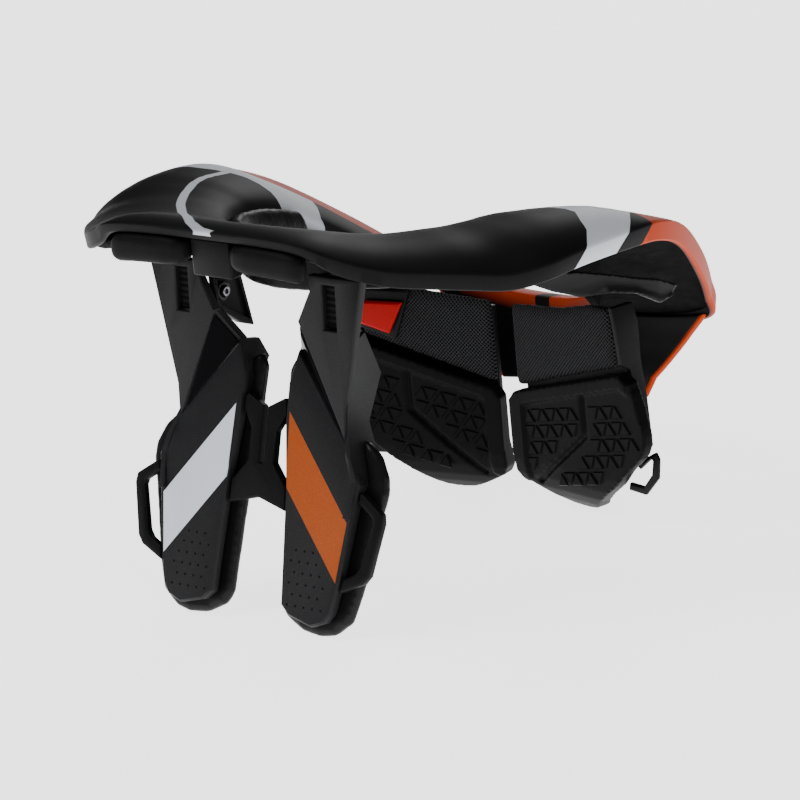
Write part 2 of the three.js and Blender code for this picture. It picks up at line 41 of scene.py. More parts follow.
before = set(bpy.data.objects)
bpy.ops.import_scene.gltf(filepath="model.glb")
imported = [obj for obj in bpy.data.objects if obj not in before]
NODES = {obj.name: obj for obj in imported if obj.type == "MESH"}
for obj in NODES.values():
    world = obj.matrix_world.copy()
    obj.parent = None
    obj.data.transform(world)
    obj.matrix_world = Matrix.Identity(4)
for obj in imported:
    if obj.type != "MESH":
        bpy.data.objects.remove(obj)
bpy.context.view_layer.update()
MM = 0.001
BODY = "root"
SIDES = ("left", "right")

# The model's origin lies this far behind the zero that the tables below are measured from.
CENTRE_Y = 132.7

# The collar's stations over the wearer's left half, from the middle of the front to the middle of the back:
# the outer edge, the edge of the neck opening, the swell of the top face and the height of the outer bevel.
COLLAR_STATIONS = [
    ((0, -8, 193.3), (0, 40, 177), 6.5, 4.4),
    ((38, -9, 193.3), (20, 44, 177), 6.5, 4.4),
    ((60, -8, 191.5), (31, 50, 177), 6.5, 4.8),
    ((73, -3, 186.5), (37, 54, 176.8), 7, 7.5),
    ((84, 3, 182.4), (42, 58, 176.5), 7.5, 8),
    ((95, 12, 178.5), (47, 62, 176), 8, 8),
    ((107, 24, 175.8), (51, 67, 175.8), 8.5, 8),
    ((119.5, 37.5, 173), (56, 74, 175), 10, 8),
    ((131, 53, 170), (60, 81, 174), 11.5, 8),
    ((140, 70, 171.3), (63.5, 92, 172.3), 13, 8),
    ((143, 92, 172.8), (65.5, 105, 170), 14, 8),
    ((145, 124, 173), (67, 130, 162), 13.5, 8.5),
    ((143, 151, 171), (66, 150, 151), 8.5, 9.5),
    ((134, 180, 161), (64, 170, 139), 5, 11),
    ((118, 214, 138), (60, 190, 126), 3, 12),
    ((104, 238, 117), (51, 209, 114), 2.5, 11),
    ((92, 254, 99), (38, 224, 105), 2, 8),
    ((52, 270, 87), (19, 231.5, 99), 2, 8),
    ((0, 275, 83), (0, 234, 97), 2.5, 8),
]
LAST = len(COLLAR_STATIONS) - 1
SHELL_WALL = 4
INNER_LIP = 9

# The top face's rise from its outer edge to its inner one, as shares of the swell.
CROWN_SHAPE = [
    (0, 0),
    (0.03, 0.17),
    (0.06, 0.32),
    (0.12, 0.56),
    (0.18, 0.74),
    (0.26, 0.89),
    (0.34, 0.98),
    (0.43, 1.0),
    (0.52, 0.99),
    (0.62, 0.94),
    (0.72, 0.85),
    (0.8, 0.73),
    (0.88, 0.54),
    (0.94, 0.34),
    (0.975, 0.14),
    (1, -0.1),
]

# The leg plates lean back: a place on them is X and the slope, and the frame's normal points forward.
LEG_ORIGIN = (0, -8.5, 0)
LEG_UP = (0, 0.28607, 0.95822)
LEG_OUT = (0, -0.95822, 0.28607)
# The back panels turn forward towards their outer edges.
REAR_ORIGIN = (0, 201.5, 0)
REAR_ACROSS = (0.98418, -0.17715, 0)
REAR_OUT = (-0.17715, -0.98418, 0)

CAMERA_PLACE = (1.34995, -1.55209, 0.68446)
CAMERA_RIGHT = (0.76604, 0.63634, -0.09082)
CAMERA_UP = (-0.11592, 0.27574, 0.95422)
CAMERA_BACK = (0.63225, -0.72045, 0.28499)
CAMERA_LENS = 198


def metres(point):
    """A place of the tables, in millimetres, as a place of the frame."""
    return Vector((point[0] * MM, (point[1] - CENTRE_Y) * MM, point[2] * MM))


def mirror(point):
    return Vector((-point[0], point[1], point[2]))


# Shader maths


class Value:
    """A socket in a shader's tree, so that maths on it reads as maths."""

    def __init__(self, finish, socket):
        self.finish = finish
        self.socket = socket

    def maths(self, operation, other=None):
        return self.finish.node("ShaderNodeMath", {"operation": operation}, [self, other])

    def __add__(self, other):
        return self.maths("ADD", other)

    __radd__ = __add__

    def __sub__(self, other):
        return self.maths("SUBTRACT", other)

    def __rsub__(self, other):
        return self.finish.node("ShaderNodeMath", {"operation": "SUBTRACT"}, [other, self])

    def __mul__(self, other):
        return self.maths("MULTIPLY", other)

    __rmul__ = __mul__

    def __truediv__(self, other):
        return self.maths("DIVIDE", other)

    def __abs__(self):
        return self.maths("ABSOLUTE")

    def over(self, limit, soft=0.0002):
        """1 where this is above the limit, with an edge as wide as `soft`."""
        if isinstance(limit, Value):
            return (self - limit).over(0.0, soft)
        inputs = [self, limit - soft, limit + soft, 0.0, 1.0]
        return self.finish.node("ShaderNodeMapRange", {"interpolation_type": "SMOOTHSTEP"}, inputs)

    def under(self, limit, soft=0.0002):
        return 1 - self.over(limit, soft)

    def sine(self):
        return self.maths("SINE")


class Finish:
    """A material with one principled shader."""

    def __init__(self, name, colour, roughness, metallic=0.0, ior=1.16):
        self.material = bpy.data.materials.new(name)
        self.material.use_nodes = True
        self.tree = self.material.node_tree
        self.shader = self.tree.nodes["Principled BSDF"]
        self.shader.inputs["Base Color"].default_value = (*colour, 1)
        self.shader.inputs["Roughness"].default_value = roughness
        self.shader.inputs["Metallic"].default_value = metallic
        self.shader.inputs["IOR"].default_value = ior
        self.place = self.node("ShaderNodeTexCoord", {}, [], "Object")
        self.x, self.y, self.z = self.parts(self.place)

    def node(self, kind, settings, inputs, output=0):
        """A node with its settings and the values or links of its sockets."""
        made = self.tree.nodes.new(kind)
        for name, value in settings.items():
            setattr(made, name, value)
        pairs = inputs.items() if isinstance(inputs, dict) else enumerate(inputs)
        for key, value in pairs:
            if isinstance(value, Value):
                self.tree.links.new(value.socket, made.inputs[key])
            elif value is not None:
                made.inputs[key].default_value = value
        return Value(self, made.outputs[output])

    def parts(self, vector):
        made = self.tree.nodes.new("ShaderNodeSeparateXYZ")
        self.tree.links.new(vector.socket, made.inputs[0])
        return [Value(self, s) for s in made.outputs]

    def attribute(self, name):
        return self.node("ShaderNodeAttribute", {"attribute_name": name}, [], "Fac")

    def noise(self, scale, detail=2.0, rough=0.5):
        inputs = {"Vector": self.place, "Scale": scale, "Detail": detail, "Roughness": rough}
        return self.node("ShaderNodeTexNoise", {}, inputs, 0)

    def cells(self, scale, feature="F1"):
        inputs = {"Vector": self.place, "Scale": scale}
        return self.node("ShaderNodeTexVoronoi", {"feature": feature}, inputs, "Distance")

    def mix(self, factor, first, second):
        """Colours mixed by a factor: each is a value of a socket or a plain colour."""
        colours = [c if isinstance(c, Value) else (*c, 1) for c in (first, second)]
        return self.node(
            "ShaderNodeMix", {"data_type": "RGBA"}, {0: factor, 6: colours[0], 7: colours[1]}, 2
        )

    def colour(self, value):
        self.tree.links.new(value.socket, self.shader.inputs["Base Color"])

    def feed(self, name, value):
        self.tree.links.new(value.socket, self.shader.inputs[name])

    def bump(self, height, distance, strength=1.0):
        """A bump of the given real height, in metres, on top of any bump made before."""
        before = self.shader.inputs["Normal"].links
        inputs = {"Height": height, "Distance": distance, "Strength": strength}
        if before:
            inputs["Normal"] = Value(self, before[0].from_socket)
        self.feed("Normal", self.node("ShaderNodeBump", {}, inputs))

    def curve(self, value, points, low, high, bend="LINEAR"):
        """A value read off lines between (place, height) points, with places from low to high."""
        heights = [h for _, h in points]
        floor, span = min(heights), max(max(heights) - min(heights), 1e-6)
        made = self.tree.nodes.new("ShaderNodeValToRGB")
        share = (value - low) / (high - low)
        self.tree.links.new(share.socket, made.inputs[0])
        made.color_ramp.interpolation = bend
        stops = made.color_ramp.elements
        while len(stops) < len(points):
            stops.new(0.5)
        for stop, (place, height) in zip(stops, sorted(points)):
            stop.position = (place - low) / (high - low)
            stop.color = (*[(height - floor) / span] * 3, 1)
        red = self.node("ShaderNodeSeparateColor", {}, [Value(self, made.outputs[0])], 0)
        return red * span + floor


PLATE_GROUND = (0.0045, 0.0045, 0.005)
MADE = {}


def shade(name):
    """A colour of the settings."""
    return tuple(getattr(bpy.context.scene.neck_brace_colours, name))


def finish_of(name):
    """Each material is made once, by the function of its name."""
    if name not in MADE:
        MADE[name] = MATERIALS[name]()
    return MADE[name]


def grain(made, scale, depth, spread=0.1, base=0.4):
    """Fine moulded grain: bump and a little change of roughness."""
    fine = made.noise(scale, 3.0)
    broad = made.noise(60, 2.0)
    made.bump(fine, depth, 0.8)
    made.feed("Roughness", fine * spread + broad * spread + (base - spread))


# The collar's print, in metres. The white band lies between two lines: Y against distance from the middle.
WHITE_FRONT = [
    (0, 0.006), (0.067, -0.011), (0.0757, -0.0085), (0.0824, -0.009), (0.0921, -0.0105),
    (0.0987, -0.0145), (0.1104, -0.0204), (0.124, -0.0215), (0.131, -0.027), (0.137, -0.0302),
    (0.1425, -0.0376), (0.145, -0.043),
]
WHITE_REAR = [
    (0, 0.017), (0.068, 0.0174), (0.083, 0.032), (0.097, 0.043), (0.118, 0.04), (0.128, 0.018),
    (0.1338, 0.0065), (0.1409, -0.0025), (0.145, -0.009),
]
# The orange band's share of the collar's width, against the place along the stations.
ORANGE_WIDTH = [(11, 0.3), (12, 0.5), (13, 0.6), (14, 0.64), (15, 0.72), (16, 1.1), (18, 1.1)]
ORANGE_START = 0.010
ORANGE_GAP = 0.0045
# The thin arc, in axes turned by an eighth of a circle: its offset against the way along it.
ARC_BOW = [
    (-0.0595, -0.08), (-0.049, -0.0869), (-0.0433, -0.091), (-0.0352, -0.0963), (-0.0211, -0.1015),
    (0.0001, -0.1049), (0.031, -0.1052), (0.0868, -0.1033), (0.0983, -0.0994), (0.1037, -0.0952),
    (0.1079, -0.0909),
]
ARC_ENDS = (-0.0595, 0.1035)
ARC_HALF = 0.0022


def collar_finish():
    """Matt black with the white and orange bands, laid by the place round the collar and across it."""
    made = Finish("collar_print", shade("black"), 0.45)
    across = made.attribute("across")
    drop = made.attribute("drop")
    side = abs(made.x)
    front = made.curve(side, WHITE_FRONT, 0.0, 0.15)
    rear = made.curve(side, WHITE_REAR, 0.0, 0.15)
    place = made.y + drop * 1.4
    white = place.over(front) * place.under(rear)
    band = made.y + drop * 1.1
    width = made.curve(made.attribute("round"), ORANGE_WIDTH, 0.0, 18.0)
    orange = band.over(ORANGE_START) * across.under(width, 0.006) * side.over(ORANGE_GAP)
    along = (made.x - made.y) * math.sqrt(0.5)
    offset = (made.x + made.y) * math.sqrt(0.5)
    bow = made.curve(along, ARC_BOW, -0.06, 0.11, "CARDINAL")
    arc = abs(offset - bow).under(ARC_HALF) * drop.under(0.002)
    arc = arc * along.over(ARC_ENDS[0]) * along.under(ARC_ENDS[1])
    top = made.attribute("printed")
    fleck = made.cells(2600).under(0.16, 0.06)
    base = made.mix(fleck * 0.10, shade("black"), (0.10, 0.10, 0.11))
    coloured = made.mix(top * white, base, shade("white"))
    coloured = made.mix(top * arc, coloured, shade("white"))
    coloured = made.mix(top * orange, coloured, shade("orange"))
    made.colour(coloured)
    fine = made.noise(2600, 2.0)
    made.bump(fine, 0.00004, 0.5)
    printed = top * (white + orange + arc).under(0.5, 0.2)
    made.feed("Roughness", 0.44 + printed * 0.06 + fine * 0.1)
    return made.material


def lining_finish():
    """The fuzzy loop cloth glued under the collar."""
    made = Finish("under_lining", (0.01, 0.01, 0.011), 0.9, ior=1.1)
    hair = made.noise(1500, 4.0, 0.7)
    lump = made.noise(160, 2.0)
    made.colour(made.mix(hair * lump, (0.002, 0.002, 0.002), (0.022, 0.022, 0.024)))
    made.bump(hair, 0.0006, 0.9)
    return made.material


def flecked(made, share, dark, light=(0.06, 0.06, 0.065)):
    """The dark ground of the hard plates with its fine sparkle."""
    fleck = made.cells(2200).under(0.2, 0.08)
    return made.mix(fleck * share, dark, light)


def plate_finish():
    """Satin moulded plastic with a fine sparkle."""
    made = Finish("moulded_plate", (0.021, 0.021, 0.023), 0.42)
    made.colour(flecked(made, 0.25, PLATE_GROUND))
    grain(made, 2300, 0.00005, 0.08, 0.42)
    return made.material


def shield_finish():
    """The plate's plastic with a thin orange line along both sides."""
    made = Finish("shield_print", shade("black"), 0.42)
    line = made.attribute("side").over(0.978, 0.004)
    made.colour(made.mix(line, flecked(made, 0.25, PLATE_GROUND), shade("orange")))
    grain(made, 2300, 0.00005, 0.08, 0.42)
    return made.material


# The slanted band on a leg's front face, in millimetres: the slope of its upper and lower edge at X = 0 and
# their fall for each millimetre of X, then its inner and outer edge as slope, X and lean.
BAND_UPPER = (124.5, 1.160)
BAND_LOWER = (91.5, 1.152)
BAND_INNER = (70.3, 18.4, -0.046)
BAND_OUTER = (29.3, 54.0, 0.123)
BAND_SOFT = 0.12


def leg_finish():
    """The leg plates, with a slanted band in front: orange on the left leg, white on the right one."""
    made = Finish("leg_print", (0.021, 0.021, 0.023), 0.42, ior=1.2)
    y = made.y * 1000 + CENTRE_Y
    z = made.z * 1000
    side = abs(made.x) * 1000
    slope = (y - LEG_ORIGIN[1]) * LEG_UP[1] + z * LEG_UP[2]
    lift = (y - LEG_ORIGIN[1]) * LEG_OUT[1] + z * LEG_OUT[2]
    upper = BAND_UPPER[0] - side * BAND_UPPER[1]
    lower = BAND_LOWER[0] - side * BAND_LOWER[1]
    inner = (slope - BAND_INNER[0]) * BAND_INNER[2] + BAND_INNER[1]
    outer = (slope - BAND_OUTER[0]) * BAND_OUTER[2] + BAND_OUTER[1]
    band = slope.under(upper, BAND_SOFT) * slope.over(lower, BAND_SOFT)
    band = band * side.over(inner, BAND_SOFT) * side.under(outer, BAND_SOFT)
    band = band * lift.over(-0.35, 0.05) * slope.under(106.0, 0.1)
    ground = flecked(made, 0.35, (0.010, 0.010, 0.011), (0.08, 0.08, 0.085))
    is_left = made.x.over(0.0, 0.001)
    sparkle = made.cells(1500).under(0.25, 0.1) * 0.35
    orange = made.mix(sparkle, shade("decal"), (0.55, 0.18, 0.05))
    white = made.mix(sparkle, (0.60, 0.63, 0.70), (0.42, 0.44, 0.50))
    made.colour(made.mix(band, ground, made.mix(is_left, white, orange)))
    fine = made.noise(2300, 3.0)
    made.bump(fine, 0.00005, 0.8)
    made.feed("Roughness", 0.4 - band * 0.08 + fine * 0.08)
    return made.material


def window_finish():
    made = Finish("leg_window_gloss", (0.003, 0.003, 0.0035), 0.12, ior=1.06)
    smear = made.noise(90, 3.0)
    made.feed("Roughness", 0.06 + smear * 0.1)
    made.bump(smear, 0.00008, 0.3)
    return made.material


def liner_finish():
    """Coated cloth over foam, with fine creases whose hollows are darkened by painted shade."""
    made = Finish("liner_cloth", (0.004, 0.004, 0.005), 0.35)
    crease_with_shade = made.noise(120, 3.0, 0.6)
    weave = made.noise(3000, 2.0)
    made.bump(crease_with_shade, 0.0011, 0.7)
    made.bump(weave, 0.00008, 0.6)
    # Painted shade: the colour is darker where the bump of the creases is low, in their hollows.
    made.colour(made.mix(crease_with_shade, (0.003, 0.003, 0.0035), (0.009, 0.009, 0.010)))
    made.feed("Roughness", 0.28 + crease_with_shade * 0.25)
    return made.material


def foam_finish():
    """Moulded closed foam: soft black with a pore grain."""
    made = Finish("moulded_foam", (0.005, 0.005, 0.005), 0.5, ior=1.12)
    pore = made.cells(900)
    made.colour(made.mix(made.noise(50), (0.0035, 0.0035, 0.004), (0.007, 0.007, 0.0075)))
    made.bump(pore, 0.00010, 0.6)
    grain(made, 1700, 0.00005, 0.1, 0.5)
    return made.material


def mesh_finish():
    """Spacer mesh: rows of small open diamonds in the panel's own plane, their holes filled with near-black
    painted shade.
    """
    made = Finish("spacer_mesh", (0.01, 0.01, 0.011), 0.6, ior=1.1)
    side = abs(made.x) * 1000
    across = side * REAR_ACROSS[0] + (made.y * 1000 + CENTRE_Y - REAR_ORIGIN[1]) * REAR_ACROSS[1]
    up = made.z * 1000
    pitch = 2.0
    turn = math.pi / pitch
    hole = abs(((across + up) * turn).sine() * ((across - up) * turn).sine())
    hole_with_shade = hole.over(0.42, 0.2)
    thread = made.noise(2200, 2.0)
    yarn = made.mix(thread, (0.010, 0.010, 0.011), (0.045, 0.045, 0.048))
    # Painted shade: the holes are coloured near black for the shade inside the mesh.
    made.colour(made.mix(hole_with_shade, yarn, (0.0015, 0.0015, 0.0016)))
    made.bump(1 - hole_with_shade, 0.0005, 0.9)
    made.bump(thread, 0.00010, 0.6)
    return made.material


def rubber_finish():
    made = Finish("pad_rubber", (0.004, 0.004, 0.0045), 0.4, ior=1.1)
    made.colour(made.mix(made.noise(45), (0.0025, 0.0025, 0.003), (0.0045, 0.0045, 0.005)))
    grain(made, 1900, 0.00006, 0.12, 0.42)
    return made.material


def flap_finish():
    """Smooth rubber with a soft shine, for the shoulder and chest pads."""
    made = Finish("flap_rubber", (0.005, 0.005, 0.0055), 0.34, ior=1.22)
    broad = made.noise(40, 2.0)
    made.colour(made.mix(broad, (0.004, 0.004, 0.0045), (0.008, 0.008, 0.0085)))
    grain(made, 1900, 0.00003, 0.08, 0.32)
    return made.material


def clip_finish():
    """Red moulded plastic, with lighter red patches painted in as a glow of light through it."""
    made = Finish("clip_red", shade("clip"), 0.25, ior=1.15)
    flow_and_glow = made.noise(140, 2.0)
    # Painted glow: lighter red in the noise's patches; the same noise also bumps the surface.
    made.colour(made.mix(flow_and_glow * 0.3, shade("clip"), (0.42, 0.001, 0.003)))
    made.bump(flow_and_glow, 0.00006, 0.3)
    return made.material


def steel_finish():
    made = Finish("bolt_steel", (0.16, 0.16, 0.17), 0.3, metallic=1.0)
    turned = made.noise(2500, 2.0)
    made.bump(turned, 0.00003, 0.5)
    made.feed("Roughness", 0.2 + turned * 0.2)
    return made.material


def blued_finish():
    """Blackened steel of the washers."""
    made = Finish("washer_steel", (0.022, 0.022, 0.024), 0.35, metallic=1.0)
    turned = made.noise(2200, 2.0)
    made.bump(turned, 0.00003, 0.5)
    made.feed("Roughness", 0.3 + turned * 0.15)
    return made.material


def thread_finish():
    made = Finish("seam_thread", (0.01, 0.01, 0.011), 0.6)
    twist = made.noise(4000, 2.0)
    made.colour(made.mix(twist, (0.006, 0.006, 0.0065), (0.03, 0.03, 0.032)))
    made.bump(twist, 0.0001, 0.8)
    return made.material


# The vents: near-black discs raised a little on the leg plates, painted shade standing in for holes.
def vent_shade_finish():
    made = Finish("vent_painted_shade", (0.003, 0.003, 0.003), 0.8)
    made.bump(made.noise(2500), 0.00005, 0.5)
    return made.material


def floor_finish():
    made = Finish("studio_floor", (0.6, 0.6, 0.6), 0.8)
    made.shader.inputs["Emission Color"].default_value = (1, 1, 1, 1)
    made.shader.inputs["Emission Strength"].default_value = 2.4
    made.bump(made.noise(30), 0.0001, 0.1)
    return made.material


MATERIALS = {
    "collar": collar_finish,
    "lining": lining_finish,
    "plate": plate_finish,
    "shield": shield_finish,
    "leg": leg_finish,
    "window": window_finish,
    "liner": liner_finish,
    "foam": foam_finish,
    "mesh": mesh_finish,
    "rubber": rubber_finish,
    "flap": flap_finish,
    "clip": clip_finish,
    "steel": steel_finish,
    "blued": blued_finish,
    "thread": thread_finish,
    "vent": vent_shade_finish,
    "floor": floor_finish,
}


# Mesh helpers


def new_piece(name, verts, faces, finish, smooth_angle=35):
    mesh = bpy.data.meshes.new(name)
    mesh.from_pydata([tuple(p) for p in verts], [], faces)
    mesh.validate()
    mesh.update()
    return as_piece(name, mesh, finish, smooth_angle)


def as_piece(name, mesh, finish, smooth_angle=35):
    piece = bpy.data.objects.new(name, mesh)
    bpy.context.scene.collection.objects.link(piece)
    mesh.materials.clear()
    mesh.materials.append(finish_of(finish))
    mesh.shade_smooth()
    mesh.set_sharp_from_angle(angle=math.radians(smooth_angle))
    return piece


def merged_copy(node):
    """The node's mesh with its loose triangles joined and its flat faces made whole."""
    made = bmesh.new()
    made.from_mesh(NODES[node].data)
    bmesh.ops.remove_doubles(made, verts=made.verts, dist=0.00002)
    bmesh.ops.dissolve_limit(made, angle_limit=math.radians(1.2), verts=made.verts, edges=made.edges)
    mesh = bpy.data.meshes.new(node)
    made.to_mesh(mesh)
    made.free()
    return mesh


def baked(piece):
    """The piece with its modifiers made part of its mesh."""
    bpy.context.view_layer.update()
    seen = piece.evaluated_get(bpy.context.evaluated_depsgraph_get())
    mesh = bpy.data.meshes.new_from_object(seen)
    piece.modifiers.clear()
    piece.data = mesh
    return piece


def settled(piece, node, slot, *more):
    """The piece rides on the body and stands for the node."""
    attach(piece, BODY)
    if node:
        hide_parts(node, *more)
    return piece


def rounded_plate(name, node, finish, slot, edge, segments=3, angle=28):
    """A hard plate: the node's own shape with its edges rounded."""
    piece = as_piece(name, merged_copy(node), finish)
    bevel = piece.modifiers.new("edges", "BEVEL")
    bevel.width = edge * MM
    bevel.segments = segments
    bevel.limit_method = "ANGLE"
    bevel.angle_limit = math.radians(angle)
    bevel.harden_normals = False
    baked(piece)
    piece.data.shade_smooth()
    piece.data.set_sharp_from_angle(angle=math.radians(40))
    return settled(piece, node, slot)


def soft_copy(name, node, finish, slot, voxel, rounds, swell=0.0, pressure=0.0, cap=2.0):
    """A padded piece: the node's shape remeshed, filled like a cushion and smoothed."""
    piece = as_piece(name, merged_copy(node), finish, 180)
    remesh = piece.modifiers.new("skin", "REMESH")
    remesh.mode = "VOXEL"
    remesh.voxel_size = voxel * MM
    baked(piece)
    if pressure:
        stuff(piece, pressure, cap * MM)
    relax = piece.modifiers.new("relax", "SMOOTH")
    relax.factor = 0.5
    relax.iterations = rounds
    if swell:
        puff = piece.modifiers.new("puff", "DISPLACE")
        puff.mid_level = 0.0
        puff.strength = swell * MM
    smooth = piece.modifiers.new("fine", "SUBSURF")
    smooth.levels = smooth.render_levels = 1
    baked(piece)
    piece.data.materials.clear()
    piece.data.materials.append(finish_of(finish))
    piece.data.shade_smooth()
    settled(piece, node, slot)
    return piece


def stuff(piece, pressure, cap):
    """Cloth with air pressure inside, for twenty frames, and no point further from its start than the cap."""
    scene = bpy.context.scene
    start = [v.co.copy() for v in piece.data.vertices]
    cloth = piece.modifiers.new("cloth", "CLOTH")
    cloth.settings.use_pressure = True
    cloth.settings.uniform_pressure_force = pressure
    cloth.settings.quality = 5
    cloth.settings.mass = 0.3
    cloth.settings.tension_stiffness = 25
    cloth.settings.compression_stiffness = 25
    cloth.settings.effector_weights.gravity = 0
    cloth.point_cache.frame_start = 1
    cloth.point_cache.frame_end = 20
    for step in range(1, 21):
        scene.frame_set(step)
    baked(piece)
    scene.frame_set(1)
    for vertex, before in zip(piece.data.vertices, start):
        move = vertex.co - before
        if move.length > cap:
            vertex.co = before + move * (cap / move.length)


# Geometry Nodes


class Pattern:
    """A Geometry Nodes tree with named inputs, run on a piece and baked to a plain mesh."""

    def __init__(self, name):
        self.tree = bpy.data.node_groups.new(name, "GeometryNodeTree")
        self.tree.interface.new_socket("Geometry", in_out="INPUT", socket_type="NodeSocketGeometry")
        self.tree.interface.new_socket("Geometry", in_out="OUTPUT", socket_type="NodeSocketGeometry")
        self.keys = {}
        self.entry = None

    def number(self, name, value, whole=False):
        kind = "NodeSocketInt" if whole else "NodeSocketFloat"
        socket = self.tree.interface.new_socket(name, in_out="INPUT", socket_type=kind)
        socket.default_value = value
        self.keys[name] = (socket.identifier, value)

    def start(self):
        self.entry = self.tree.nodes.new("NodeGroupInput")

    def read(self, name):
        return self.entry.outputs[name]

    def node(self, kind, settings, inputs):
        made = self.tree.nodes.new(kind)
        for key, value in settings.items():
            setattr(made, key, value)
        for key, value in inputs.items():
            if isinstance(value, bpy.types.NodeSocket):
                self.tree.links.new(value, made.inputs[key])
            else:
                made.inputs[key].default_value = value
        return made

    def end(self, geometry, finish):
        real = self.node("GeometryNodeRealizeInstances", {}, {"Geometry": geometry})
        dressed = self.node(
            "GeometryNodeSetMaterial", {}, {"Geometry": real.outputs[0], "Material": finish_of(finish)}
        )
        leave = self.tree.nodes.new("NodeGroupOutput")
        self.tree.links.new(dressed.outputs[0], leave.inputs[0])

    def bake(self, name, mesh):
        piece = bpy.data.objects.new(name, mesh)
        bpy.context.scene.collection.objects.link(piece)
        modifier = piece.modifiers.new("pattern", "NODES")
        modifier.node_group = self.tree
        for identifier, value in self.keys.values():
            modifier[identifier] = value
        return baked(piece)


def seed_mesh(name, points, normals, turns):
    """Points with a facing and a turn each, for a pattern to put its copies on."""
    mesh = bpy.data.meshes.new(name)
    mesh.from_pydata([tuple(p) for p in points], [], [])
    facing = mesh.attributes.new("facing", "FLOAT_VECTOR", "POINT")
    facing.data.foreach_set("vector", [c for n in normals for c in n])
    turn = mesh.attributes.new("turn", "FLOAT", "POINT")
    turn.data.foreach_set("value", list(turns))
    return mesh


def stamped(name, points, normals, turns, sides, radius, height, top, finish):
    """A low cone of `sides` sides on each point: triangles with three, round dots with more."""
    pattern = Pattern(name + "_pattern")
    pattern.number("Radius", radius * MM)
    pattern.number("Top", top * MM)
    pattern.number("Height", height * MM)
    pattern.number("Sides", sides, whole=True)
    pattern.start()
    cone = pattern.node(
        "GeometryNodeMeshCone",
        {"fill_type": "NGON"},
        {
            "Vertices": pattern.read("Sides"),
            "Radius Bottom": pattern.read("Radius"),
            "Radius Top": pattern.read("Top"),
            "Depth": pattern.read("Height"),
        },
    )
    stored = "GeometryNodeInputNamedAttribute"
    facing = pattern.node(stored, {"data_type": "FLOAT_VECTOR"}, {"Name": "facing"})
    turn = pattern.node(stored, {"data_type": "FLOAT"}, {"Name": "turn"})
    stand = pattern.node("FunctionNodeAlignRotationToVector", {"axis": "Z"}, {"Vector": facing.outputs[0]})
    spin = pattern.node(
        "FunctionNodeAxisAngleToRotation", {}, {"Axis": (0.0, 0.0, 1.0), "Angle": turn.outputs[0]}
    )
    both = pattern.node(
        "FunctionNodeRotateRotation",
        {"rotation_space": "LOCAL"},
        {"Rotation": stand.outputs[0], "Rotate By": spin.outputs[0]},
    )
    placed = pattern.node(
        "GeometryNodeInstanceOnPoints",
        {},
        {"Points": pattern.read("Geometry"), "Instance": cone.outputs[0], "Rotation": both.outputs[0]},
    )
    pattern.end(placed.outputs[0], finish)
    piece = pattern.bake(name, seed_mesh(name + "_seeds", points, normals, turns))
    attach(piece, BODY)
    return piece


# Collar


def spline(values, place, sign=1):
    """A smooth curve through evenly spaced values, mirrored over both ends with the given sign."""
    i = min(int(place), len(values) - 2)
    s = place - i
    count = len(values)

    def read(k):
        if k < 0:
            return values[-k] * sign
        if k >= count:
            return values[2 * (count - 1) - k] * sign
        return values[k]

    a, b, c, d = read(i - 1), read(i), read(i + 1), read(i + 2)
    bend = 2 * a - 5 * b + 4 * c - d
    twist = 3 * b - a - 3 * c + d
    return 0.5 * (2 * b + (c - a) * s + bend * s**2 + twist * s**3)


def station_at(place):
    """The collar's edges, swell and bevel height at a place along the stations."""
    def edge(which):
        signs = (-1, 1, 1)
        return Vector([spline([s[which][k] for s in COLLAR_STATIONS], place, signs[k]) for k in range(3)])

    outer, inner = edge(0), edge(1)
    inward = inner - outer
    inward.z = 0
    inward.normalize()
    return {
        "outer": outer,
        "inner": inner,
        "inward": inward,
        "crown": spline([s[2] for s in COLLAR_STATIONS], place),
        "rim": spline([s[3] for s in COLLAR_STATIONS], place),
    }


def on_top(station, share, drop=0.0):
    lift = 0.0
    for (s0, h0), (s1, h1) in zip(CROWN_SHAPE, CROWN_SHAPE[1:]):
        if s0 <= share <= s1:
            lift = h0 + (h1 - h0) * (share - s0) / (s1 - s0)
    point = station["outer"].lerp(station["inner"], share)
    point.z += lift * station["crown"] - drop
    return point


def collar_section(station):
    """Points round the shell's wall: place, share across, drop below the outer edge, and 1 where printed."""
    inward = station["inward"]
    width = (station["inner"] - station["outer"]).length
    wall = SHELL_WALL / width
    rows = []
    outer_low = station["outer"] + inward * 1.0
    outer_low.z = station["outer"].z - station["rim"]
    inner_low = on_top(station, 1, INNER_LIP)
    edge = 0.8
    down = (outer_low - station["outer"]).normalized()
    rows.append((outer_low + inward * (SHELL_WALL - 1), 0, station["rim"], 0))
    rows.append((outer_low + inward * edge, 0, station["rim"], 1))
    rows.append((outer_low - down * edge, 0, station["rim"] - edge, 1))
    rows.append((station["outer"] + down * (edge * 1.2), 0, edge * 1.2, 1))
    rows.append((station["outer"] + down * (edge * 0.35) + inward * 0.12, 0, edge * 0.35, 1))
    start = on_top(station, 0.012)
    rows.append((start, 0.012, 0, 1))
    for share, _ in CROWN_SHAPE[1:-1]:
        rows.append((on_top(station, share), share, 0, 1))
    rows.append((on_top(station, 0.99) + Vector((0, 0, -0.2)), 0.99, 0, 1))
    rows.append((on_top(station, 1, 1.4), 1, 0, 1))
    rows.append((inner_low, 1, 0, 0))
    rows.append((inner_low - inward * SHELL_WALL, 1, 0, 0))
    for share in (1 - wall, 0.8, 0.62, 0.43, 0.26, wall):
        rows.append((on_top(station, share, SHELL_WALL), share, 0, 0))
    return rows


COLLAR_STEPS = 9


